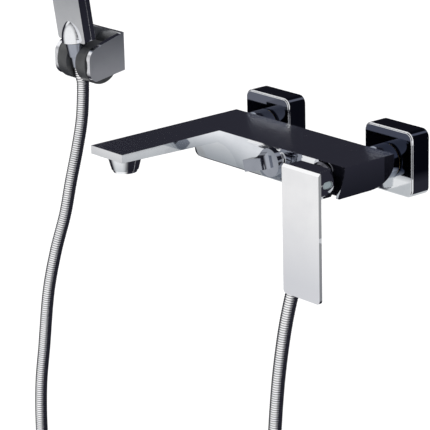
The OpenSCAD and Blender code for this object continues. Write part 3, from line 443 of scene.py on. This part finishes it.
def cast(node, name):
    """A piece that starts as a merged copy of a CAD node, to be given the rounding of the real casting."""
    mesh = frame["nodes"][node].data.copy()
    mesh.materials.clear()
    piece = bpy.data.objects.new(name, mesh)
    bpy.context.scene.collection.objects.link(piece)
    only(piece)
    bpy.ops.object.mode_set(mode="EDIT")
    bpy.ops.mesh.select_all(action="SELECT")
    bpy.ops.mesh.remove_doubles(threshold=2e-6)
    bpy.ops.mesh.dissolve_limited(angle_limit=math.radians(0.6))
    bpy.ops.object.mode_set(mode="OBJECT")
    return piece


def round_edges(piece, width, material, rim=None):
    """Rounds the sharp edges; the rounding can have a finish of its own."""
    piece.data.materials.append(material)
    if rim:
        piece.data.materials.append(rim)
    apply_modifier(piece, "BEVEL", width=width * MM, segments=3, limit_method="ANGLE",
                   angle_limit=ROUND_ANGLE, harden_normals=False, use_clamp_overlap=True,
                   material=1 if rim else -1)


def soften(piece, wanted, width):
    """Rolls over the edges whose two ends both satisfy wanted(x, y, z), given in mm."""
    only(piece)
    bpy.ops.object.mode_set(mode="EDIT")
    bpy.ops.mesh.select_mode(type="EDGE")
    bpy.ops.mesh.select_all(action="DESELECT")
    bpy.ops.object.mode_set(mode="OBJECT")
    mesh = piece.data
    inside = [wanted(*(c / MM for c in v.co)) for v in mesh.vertices]
    for edge in mesh.edges:
        edge.select = inside[edge.vertices[0]] and inside[edge.vertices[1]]
    bpy.ops.object.mode_set(mode="EDIT")
    bpy.ops.mesh.bevel(offset=width * MM, segments=5, affect="EDGES", clamp_overlap=True)
    bpy.ops.object.mode_set(mode="OBJECT")


def under_spout(x, y, z):
    """True on the lower rim of the spout, from its tip to where it enters the body."""
    low = SPOUT_UNDER - SPOUT_DROP * (y - SPOUT_TIP) / SPOUT_REACH
    along = SPOUT_TIP - 1 < y < SPOUT_TIP + SPOUT_REACH - 1
    return along and abs(z - low) < 0.25 and min(abs(x - side) for side in SPOUT_SIDES) < 0.3


def hand_over(piece, nodes):
    """Smooths a finished piece and puts it on its body in place of its nodes."""
    only(piece)
    bpy.ops.object.shade_smooth_by_angle(angle=SMOOTH_ANGLE)
    apply_modifier(piece, "WEIGHTED_NORMAL", keep_sharp=True, weight=60)
    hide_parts(*nodes)
    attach(piece, body_of(nodes[0]))


ROUNDED = [
    # node, piece, rounding in mm, finish
    ("valve_body", "body_casting", 0.7, BODY_CHROME_PAINTED_SHADE),
    ("lever_handle", "lever", 1.2, LEVER_CHROME_PAINTED_LIGHT),
    ("diverter_knob", "knob", 0.6, KNOB_CHROME_PAINTED_SHADE),
    ("hot_wall_plate", "hot_plate", 0.7, HOT_PLATE_CHROME_PAINTED_SHADE),
    ("cold_wall_plate", "cold_plate", 0.7, COLD_PLATE_CHROME_PAINTED_SHADE),
    ("hot_union_nut", "hot_nut", 0.4, NUT_CHROME_PAINTED_SHADE),
    ("cold_union_nut", "cold_nut", 0.4, NUT_CHROME_PAINTED_SHADE),
    ("dome_cap", "cartridge_cap", 0.5, SHADED_CHROME),
    ("hose_nut", "outlet_nut", 0.4, FINISH["chrome"]),
    ("cone_nut", "handset_nut", 0.4, KNOB_CHROME_PAINTED_SHADE),
    ("cone_ferrule", "handset_ferrule", 0.4, KNOB_CHROME_PAINTED_SHADE),
    ("shower_front_shell", "handset_front", 0.25, HANDSET_CHROME_PAINTED_SHADE),
    ("shower_back_shell", "handset_back", 0.25, HANDSET_CHROME_PAINTED_SHADE),
    ("bracket_frame", "bracket", 0.8, SATIN_PAINTED_SHADE),
    ("bracket_core", "swivel_core", 0.6, FINISH["grey_plastic"]),
    ("lever_screw_cap", "screw_cover", 0.4, COVER),
]
RIMS = {
    "hot_wall_plate": EDGE_CHROME, "cold_wall_plate": EDGE_CHROME, "diverter_knob": EDGE_CHROME,
    "bracket_frame": SATIN_EDGE,
}


def second_finish(piece, finish, chosen):
    """Gives every face whose direction is chosen a second finish."""
    piece.data.materials.append(finish)
    last = len(piece.data.materials) - 1
    for face in piece.data.polygons:
        if chosen(face.normal):
            face.material_index = last


for node, name, rounding, material in ROUNDED:
    piece = cast(node, name)
    if node == "valve_body":
        soften(piece, under_spout, 3.2)
    round_edges(piece, rounding, material, RIMS.get(node))
    if node == "bracket_frame":
        second_finish(piece, SATIN_EDGE, lambda way: abs(way.x) < 0.8)
    if node == "valve_body":
        second_finish(piece, TOP_CHROME, lambda way: way.z > 0.95)
    hand_over(piece, [node])

for node, shown in frame["nodes"].items():
    for place in shown.material_slots:
        place.material = finish_of(node)


# ---------------------------------------------------------------- room and light

def add_floor():
    lowest = cad_box[0][2]
    bpy.ops.object.select_all(action="DESELECT")
    bpy.ops.mesh.primitive_plane_add(size=40, location=(0, 0, lowest - 0.002))
    floor = bpy.context.object
    floor.name = "floor"
    f = Finish("pale_floor").set(Roughness=0.9, Specular_IOR_Level=0.1)
    f.drive("Base Color", f.mix(f.noise(3, 2), (0.93, 0.93, 0.93), (0.96, 0.96, 0.96)))
    floor.data.materials.append(f.material)
    floor.visible_glossy = False


def add_card(name, low, high, tone, glow):
    """Thin card between two corners, in mm: only polished metal sees it."""
    low, high = Vector(low) * MM, Vector(high) * MM
    bpy.ops.object.select_all(action="DESELECT")
    bpy.ops.mesh.primitive_cube_add(size=1, location=(0, 0, 0))
    card = bpy.context.object
    card.name = name
    bpy.ops.object.mode_set(mode="EDIT")
    bpy.ops.mesh.select_all(action="SELECT")
    bpy.ops.transform.resize(value=high - low, center_override=(0, 0, 0))
    bpy.ops.transform.translate(value=(low + high) / 2)
    bpy.ops.object.mode_set(mode="OBJECT")
    f = Finish(name).set(Roughness=1.0, Emission_Strength=glow, Specular_IOR_Level=0.0)
    cloud = f.noise(5, 2)
    f.drive("Base Color", f.mix(cloud, tone, tuple(t * 0.9 for t in tone)))
    f.drive("Emission Color", f.mix(cloud, (0.96, 0.98, 1.0), (0.9, 0.93, 0.96)))
    card.data.materials.append(f.material)
    card.visible_camera = False
    card.visible_diffuse = False
    card.visible_shadow = False


def add_room():
    """Surroundings that polished metal mirrors: bright in front and to the left, dark above and behind."""
    world = bpy.data.worlds.new("studio")
    world.use_nodes = True
    bpy.context.scene.world = world
    f = Tree(world.node_tree)
    background = f.tree.nodes["Background"]
    way = f.node("ShaderNodeTexCoord", output="Generated")

    def lobe(direction, near, far):
        """1 within `near` degrees of a direction, 0 past `far` degrees."""
        axis = tuple(Vector(direction).normalized())
        product = {"operation": "DOT_PRODUCT"}
        facing = f.node("ShaderNodeVectorMath", product, {0: way, 1: axis}, output="Value")
        ramp = {"From Min": math.cos(math.radians(far)), "From Max": math.cos(math.radians(near))}
        return f.node("ShaderNodeMapRange", {"interpolation_type": "SMOOTHSTEP"}, {"Value": facing, **ramp})

    glow = f.mix(lobe((0.05, -1, -0.15), 38, 78), (0.022, 0.022, 0.032), (1.0, 1.0, 1.0))
    glow = f.mix(lobe((-0.72, -0.3, 0.62), 10, 26), glow, (1.0, 1.0, 1.0))
    glow = f.mix(lobe((0.29, 0.61, 0.71), 6, 16) * 0.8, glow, (0.9, 0.9, 0.95))
    glow = f.mix(lobe((0.98, -0.2, -0.3), 7, 19) * 0.9, glow, (0.95, 0.96, 1.0))
    seen = f.node("ShaderNodeLightPath", output="Is Camera Ray")
    diffuse = f.node("ShaderNodeLightPath", output="Is Diffuse Ray")
    colour = f.mix(diffuse, glow, (1.25, 1.25, 1.25))
    colour = f.mix(seen, colour, (1.0, 1.0, 1.0))
    f.plug(background.inputs["Color"], colour)


PALE = (0.02, 0.02, 0.02)
DARK = (0.01, 0.01, 0.015)
CARDS = [
    # name, two corners in mm, tone, glow
    ("pale_card_under_body", (30, -115, -45.5), (106, 30, -45), PALE, 0.6),
    ("pale_card_at_outlet", (4, -104, -44), (5, -40, -12.5), PALE, 0.55),
    ("dark_card_at_hot_plate", (-135, -33.5, -42), (-50, -33, 13), DARK, 0.0),
    ("dark_card_at_cold_plate", (0, -33.5, -16), (115, -33, 13), DARK, 0.0),
    ("dark_card_behind_lever", (62, -99.5, -21), (97, -99, 13), DARK, 0.0),
    ("pale_card_beside_lever", (160, -56, -150), (192, -55, -15), PALE, 0.3),
]

add_floor()
for card in CARDS:
    add_card(*card)
add_room()
bpy.context.scene.view_settings.view_transform = "Standard"
